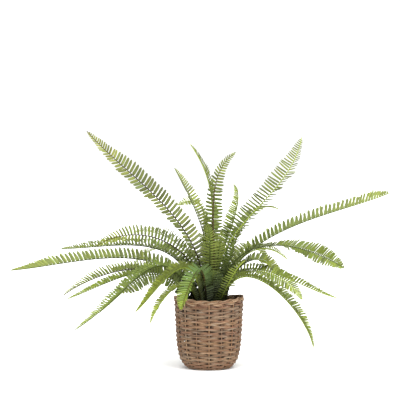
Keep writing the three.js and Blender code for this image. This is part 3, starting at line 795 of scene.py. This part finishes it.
def soil_heap():
    """The soil's lumpy surface, with bark chips lying in it"""
    shape = Shape()
    draw = np.random.default_rng(SOIL_SEED)
    bearing = bearings(SOIL_SIDES)
    radii = lerp(SOIL_RADIUS, SOIL_FOOT[0, 0], np.linspace(0, 1, SOIL_RINGS) ** 0.8)
    top = around(radii[:, None], soil_height(radii)[:, None], bearing)
    top[..., 2] += soil_lumps(top) * smoothstep(SOIL_RADIUS - radii, -0.5, 4)[:, None]
    points = np.concatenate([around(SOIL_FOOT[:, :1], SOIL_FOOT[:, 1:], bearing), top])
    tint = SOIL * draw.uniform(*SOIL_BRIGHTNESS, points.shape[:2])[..., None]
    shape.add(points, tube_quads(len(points), SOIL_SIDES), tint, points)
    for _ in range(SOIL_CHIPS):
        radius = SOIL_RADIUS * CHIP_REACH * math.sqrt(draw.uniform(0, 1))
        middle = around(radius, soil_height(radius) + CHIP_LIFT, draw.uniform(0, 360))
        add_chip(shape, middle, draw)
    return shape


def add_chip(shape, middle, draw):
    """An irregular bark chip"""
    long = unit(draw.normal(size=3) * (1, 1, 0.3))
    wide = unit(np.cross(long, draw.normal(size=3) * (0.3, 0.3, 1)))
    length = draw.uniform(*CHIP_LENGTHS)
    width = draw.uniform(*CHIP_WIDTHS)
    halves = CHIP_OUTLINE * draw.uniform(0.8, 1.1, len(CHIP_OUTLINE)) * width
    path = middle + long * CHIP_SHARES[:, None] * length
    directions = (np.tile(part, (len(path), 1)) for part in (wide, np.cross(long, wide)))
    points = rod_points(path, *directions, halves, halves * CHIP_THICKNESS, CHIP_SIDES)
    colour = lerp(*BARK, draw.uniform(0, 1) ** 2)
    shape.add(points, tube_quads(len(path), CHIP_SIDES), colour, points)


# Fronds


def smooth_curve(places, shares):
    """The curve that passes four points at even steps: its points and tangents at shares of its length"""
    start, third, two_thirds, end = (np.array(place, float) for place in places)
    first = (-5 * start + 18 * third - 9 * two_thirds + 2 * end) / 6
    second = (2 * start - 9 * third + 18 * two_thirds - 5 * end) / 6
    corners = np.array([start, first, second, end])

    def curve(t):
        t = t[:, None]
        rest = 1 - t
        points = np.hstack([rest**3, 3 * t * rest**2, 3 * t**2 * rest, t**3]) @ corners
        return points, unit(np.hstack([rest**2, 2 * t * rest, t**2]) @ np.diff(corners, axis=0))

    even = np.linspace(0, 1, CURVE_STEPS)
    lengths = lengths_along(curve(even)[0])
    return *curve(np.interp(shares, lengths / lengths[-1], even)), lengths[-1]


class Rib:
    """The rib of one frond, from the soil to its tip"""

    def __init__(self, root, third, two_thirds, tip, turn):
        distance, bearing = root
        foot = around(distance, soil_height(distance), bearing)
        self.places = (foot, third, two_thirds, tip)
        self.turn = turn
        self.left = unit(np.array([foot[1] - tip[1], tip[0] - foot[0], 0]))
        self.length = smooth_curve(self.places, np.array([0.0]))[2]

    def at(self, shares):
        """Points and directions at shares of the rib's length: along it, to its left and off its face"""
        shares = np.atleast_1d(np.array(shares, float))
        points, along, _ = smooth_curve(self.places, shares)
        face = unit(np.cross(along, self.left))
        side = np.cross(face, along)
        foot_turn, tip_turn, start, end = self.turn
        turn = np.radians(lerp(foot_turn, tip_turn, smoothstep(shares, start, end)))[:, None]
        return points, along, *turned(side, face, turn)


class Filled:
    """Points of space that fronds already fill, in a grid of cells"""

    NEIGHBOURS = [(x, y, z) for x in (-1, 0, 1) for y in (-1, 0, 1) for z in (-1, 0, 1)]

    def __init__(self):
        self.cells = {}

    def add(self, points, owner):
        for point in points.tolist():
            cell = tuple(math.floor(value / CLEARANCE) for value in point)
            self.cells.setdefault(cell, []).append((point, owner))

    def is_near(self, point, owner):
        x, y, z = (math.floor(value / CLEARANCE) for value in point)
        for dx, dy, dz in self.NEIGHBOURS:
            for other, whose in self.cells.get((x + dx, y + dy, z + dz), ()):
                if whose != owner and math.dist(point, other) < CLEARANCE:
                    return True
        return False

    def is_clear(self, points, owner):
        return not any(is_in_basket(point) or self.is_near(point, owner) for point in points.tolist())


def is_in_basket(point):
    """Whether a point is too near the basket's border or the soil"""
    distance = math.hypot(point[0], point[1])
    if distance > BASKET_RADIUS + CLEARANCE:
        return False
    over_border = distance > 2 * BORDER_RADIUS - BASKET_RADIUS - CLEARANCE
    return point[2] < CLEARANCE + (BASKET_TOP + MOUTH_RISE if over_border else SOIL_CROWN_HEIGHT)


def pinna_length_share(share, end):
    """A pinna's length as a share of the longest, at a share of the leafy part"""
    from_stalk = lerp(FIRST_LENGTH, 1, smoothstep(share, 0, LONGEST_FROM))
    from_tip = np.minimum(1, (1 - share) / end) ** SHORTENING
    return from_stalk * from_tip


def along_palette(palette, place, near_end, tip_start):
    """A palette's colour near the soil, in the middle or at the tip, with soft changes"""
    near, middle, tip = palette[:3]
    return lerp(lerp(near, middle, smoothstep(place, 0, near_end)), tip, smoothstep(place, tip_start, 1))


# A pinna's outline from its stalk to its tip: shares of its length, and of its half width there
OUTLINE = np.array([
    (0.0, 0.34), (0.04, 0.42), (0.09, 0.86), (0.17, 1.0), (0.38, 1.0),
    (0.58, 0.97), (0.76, 0.9), (0.89, 0.72), (0.97, 0.42), (1.0, 0.14),
])
# The ear on its edge towards the frond's tip: how far it stands out, its place and its reach
EAR_HEIGHT, EAR_PLACE, EAR_REACH = 0.1, 0.13, 0.08
# Its section, from the edge over the upper face and back under: places across, and rises
ACROSS = np.array([-1, -0.55, 0, 0.55, 1, 0.55, 0, -0.55])
RISE = np.array([0, 1, 0.45, 1, 0, -1, -1.3, -1])
CAMBER = 0.2
# It thins over its last quarter, to nothing just beyond its tip
THIN_FROM, THIN_TO = 0.77, 1.02
# Its colour's level at its stalk and tip, and nearest the stalk, and how far the underside's own shows
LEVELS = (1.06, 0.84)
STALK_LEVEL, STALK_REACH = 0.7, 0.22
UNDERSIDE_SHARE = 0.6
PINNA_QUADS = tube_quads(len(OUTLINE), len(ACROSS))

# What a pinna tries in turn until it is clear of other fronds: an extra fold, and a shorter length
DODGES = [
    (0, 1), (12, 1), (-12, 1), (24, 1), (-24, 1), (36, 1), (-36, 1), (0, 0.8), (24, 0.8),
    (-24, 0.8), (0, 0.6), (30, 0.6), (-30, 0.6), (0, 0.42), (24, 0.42), (-24, 0.42), (0, 0.25),
]
LEAST_FOLD, MOST_FOLD = -30, 84
FIRST_SAMPLE = 0.2


class Pinna:
    """One leaflet, with its own small departures from the rule"""

    def __init__(self, rib, share, hand, length, width, fold, sweep, draw):
        self.base, self.along, self.side, self.face = (part[0] for part in rib.at(share))
        self.hand = hand
        self.length = length * draw.uniform(*PINNA_LENGTHS)
        self.half_width = width * draw.uniform(*PINNA_WIDTHS) / 2
        self.fold = fold + draw.normal(0, FOLD_SPREAD)
        self.sweep = math.radians(sweep + draw.normal(0, SWEEP_SPREAD))
        self.twist = draw.normal(*FOOT_TWIST), draw.normal(*MORE_TWIST)
        self.bend = draw.uniform(*PINNA_BENDS)
        self.droop = draw.uniform(*PINNA_DROOPS)
        self.bright = draw.normal(*BRIGHTNESS)
        self.yellow = draw.normal(*YELLOWING)
        self.seed = draw.uniform(0, PATTERN_SPREAD)

    def direct(self, extra_fold):
        """Directions along the pinna, across it towards the frond's tip, and off its upper face"""
        fold = math.radians(min(max(self.fold + extra_fold, LEAST_FOLD), MOST_FOLD))
        out, off = turned(self.side * self.hand, self.face, fold)
        forward = out * math.cos(self.sweep) + self.along * math.sin(self.sweep)
        across = unit(self.along - forward * (self.along @ forward))
        return forward, across, off

    def middle_line(self, shares):
        forward, across, off = self.directions
        shares = shares[:, None]
        bent = (across * self.bend - off * self.droop) * shares**2
        return self.base + self.final_length * (forward * shares + bent)

    def settle(self, filled, owner):
        """Takes the first fold and length that are clear, and fills that space"""
        for extra_fold, share in DODGES:
            self.directions = self.direct(extra_fold)
            self.final_length = self.length * share
            steps = max(2, math.ceil(self.final_length / SAMPLE_STEP))
            samples = self.middle_line(np.linspace(FIRST_SAMPLE, 1, steps))
            if filled.is_clear(samples, owner):
                break
        filled.add(samples, owner)

    def points(self, spread):
        """The surface's points, from how far each lies from the middle line"""
        _, across, off = self.directions
        shares, halves = OUTLINE.T
        twist = np.radians(self.twist[0] + self.twist[1] * shares)[:, None] * self.hand
        wide, high = turned(across, off, twist)
        lift = PINNA_HALF * RISE * smoothstep(THIN_TO - shares, 0, THIN_TO - THIN_FROM)[:, None]
        lift = lift - CAMBER * ACROSS**2 * (self.half_width * halves)[:, None]
        line = self.middle_line(shares)[:, None, :]
        return line + wide[:, None, :] * spread[..., None] + high[:, None, :] * lift[..., None]

    def tints(self, palette, place):
        """Its colours: darker at its stalk and tip, and with an underside of its own"""
        shares = OUTLINE[:, 0]
        colour = along_palette(palette, place, near_end=0.35, tip_start=0.55)
        colour = colour * self.bright * (1 + YELLOW * self.yellow)
        below = np.where(RISE < 0, UNDERSIDE_SHARE, 0.0)[None, :, None]
        level = lerp(*LEVELS, shares**2) * lerp(STALK_LEVEL, 1, smoothstep(shares, 0, STALK_REACH))
        return lerp(colour, palette[3], below) * level[:, None, None]

    def add_to(self, shape, palette, place):
        shares, halves = OUTLINE.T
        ear = EAR_HEIGHT * np.exp(-(((shares - EAR_PLACE) / EAR_REACH) ** 2))[:, None] * (ACROSS > 0)
        spread = (self.half_width * halves)[:, None] * ACROSS * (1 + ear)
        along = (shares * self.final_length)[:, None]
        pattern = np.stack(np.broadcast_arrays(spread, along, self.seed), axis=-1)
        quads = PINNA_QUADS if self.hand < 0 else PINNA_QUADS[:, ::-1]
        shape.add(self.points(spread), quads, self.tints(palette, place), pattern)


def painted_crown_shade(points):
    """Painted shade: leaves low over the middle of the soil are darkened, the darkest where the crown's
    shade falls deepest
    """
    low = 1 - smoothstep(points[:, 2], *SHADE_HEIGHTS)
    central = 1 - smoothstep(np.hypot(points[:, 0], points[:, 1]), *SHADE_DISTANCES)
    return (1 - (1 - DEEPEST_SHADE) * low * central)[:, None]


class Frond:
    """A rib with its pinnae, each beside its share of the leafy part"""

    def __init__(self, number, name, form):
        self.name = name
        *places, longest, fold, pitch, width_share, lean, end_lean, self.palette, self.rib_palette = form
        self.rib = Rib(*places, BLADE_TURNS.get(name, NO_TURN))
        draw = np.random.default_rng(FROND_SEED + number)
        end = END_SHARES.get(name, USUAL_END)
        bare_share = LONG_STALKS.get(name, BARE_SHARE)
        self.pinnae = []
        for hand, offset in ((1, 0), (-1, pitch / 2)):
            share = bare_share + offset / self.rib.length
            while share < LEAFY_END:
                place = (share - bare_share) / (1 - bare_share)
                step = pitch * lerp(1, TIP_PITCH, smoothstep(place, CLOSER_FROM, 1))
                length = max(longest * pinna_length_share(place, end), SHORTEST_PINNA)
                width = step * width_share * lerp(NARROWEST, 1, length / longest)
                sweep = lerp(lean, end_lean, smoothstep(place, LEAN_FROM, 1))
                self.pinnae.append((Pinna(self.rib, share, hand, length, width, fold, sweep, draw), place))
                share += step / self.rib.length * draw.uniform(*PINNA_STEPS)

    def rib_samples(self):
        return self.rib.at(np.linspace(0, 1, math.ceil(self.rib.length / SAMPLE_STEP)))[0]

    def shape(self):
        made = Shape()
        self.add_rib(made)
        for pinna, place in self.pinnae:
            pinna.add_to(made, self.palette, place)
        # painted shade: tints low over the middle of the crown are darkened
        made.tints = [tint * painted_crown_shade(points) for tint, points in zip(made.tints, made.points)]
        return made

    def add_rib(self, shape):
        """The rib, grooved along its face, with a straight root in the soil"""
        shares = np.linspace(0, 1, RIB_STEPS)
        points, along, side, face = self.rib.at(shares)
        root = points[:1] - along[:1] * ROOT_DEPTH
        points = np.concatenate([root, points])
        side, face = (np.concatenate([part[:1], part]) for part in (side, face))
        shares = np.concatenate([[0], shares])
        half = lerp(STALK_HALF, RIB_TIP_HALF, shares)
        sides = len(RIB_GROOVE)
        tube = rod_points(points, side, face, half, half, sides)
        tube = points[:, None, :] + (tube - points[:, None, :]) * RIB_GROOVE[None, :, None]
        tints = along_palette(self.rib_palette, shares[:, None, None], near_end=0.3, tip_start=0.6)
        shape.add(tube, tube_quads(len(points), sides), tints, rod_pattern(points, 1.0, sides, 3.0), sort=1)


def grow_fronds():
    fronds = [Frond(number, name, form) for number, (name, form) in enumerate(FRONDS.items())]
    filled = Filled()
    for frond in fronds:
        filled.add(frond.rib_samples(), frond.name)
    for frond in fronds:
        for pinna, _ in frond.pinnae:
            pinna.settle(filled, frond.name)
    return fronds


# Pieces


def place_piece(name, shape, node, slot, *materials):
    mesh = shape.mesh(name)
    for material in materials:
        mesh.materials.append(material)
    piece = bpy.data.objects.new(name, mesh)
    bpy.context.scene.collection.objects.link(piece)
    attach(piece, "root")
    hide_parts(node)


def build_plant():
    wicker, leaf, rib = wicker_material(), leaf_material(), rib_material()
    for part, shape in (("side", side_weave()), ("border", border_plait()), ("base", woven_base())):
        place_piece("wicker_" + part, shape, "basket_" + part, "wicker", wicker)
    place_piece("plastic_pot", plastic_pot(), "growers_pot", "pot_plastic", plastic_material())
    place_piece("potting_soil", soil_heap(), "soil", "soil", soil_material())
    for frond in grow_fronds():
        place_piece("fern_" + frond.name, frond.shape(), "frond_" + frond.name, "leaf", leaf, rib)


# Surroundings


def build_floor():
    mesh = bpy.data.meshes.new("floor")
    reach = FLOOR_REACH * MM
    corners = [(-reach, -reach, 0), (reach, -reach, 0), (reach, reach, 0), (-reach, reach, 0)]
    mesh.from_pydata(corners, [], [(0, 1, 2, 3)])
    mesh.materials.append(floor_material())
    floor = bpy.data.objects.new("floor", mesh)
    bpy.context.scene.collection.objects.link(floor)


def aim(thing, place, target):
    thing.location = Vector(place) * MM
    thing.rotation_euler = (Vector(target) - Vector(place)).to_track_quat("-Z", "Y").to_euler()
    bpy.context.scene.collection.objects.link(thing)


def build_camera():
    camera = bpy.data.objects.new("camera", bpy.data.cameras.new("camera"))
    camera.data.lens = CAMERA_LENS
    camera.data.clip_end = CAMERA_REACH * MM
    aim(camera, CAMERA_PLACE, CAMERA_TARGET)
    bpy.context.scene.camera = camera


def build_light():
    """A white room, and a soft lamp above the camera and a little to its right"""
    lamp = bpy.data.lights.new("key", "SUN")
    lamp.energy = LAMP_ENERGY
    lamp.angle = math.radians(LAMP_ANGLE)
    aim(bpy.data.objects.new("key", lamp), LAMP_PLACE, LAMP_TARGET)
    world = bpy.data.worlds.new("room")
    bpy.context.scene.world = world
    world.use_nodes = True
    room = world.node_tree.nodes["Background"].inputs
    room["Color"].default_value = (1, 1, 1, 1)
    room["Strength"].default_value = ROOM_STRENGTH
    bpy.context.scene.view_settings.view_transform = "Standard"


build_camera()
build_light()
build_floor()
build_plant()
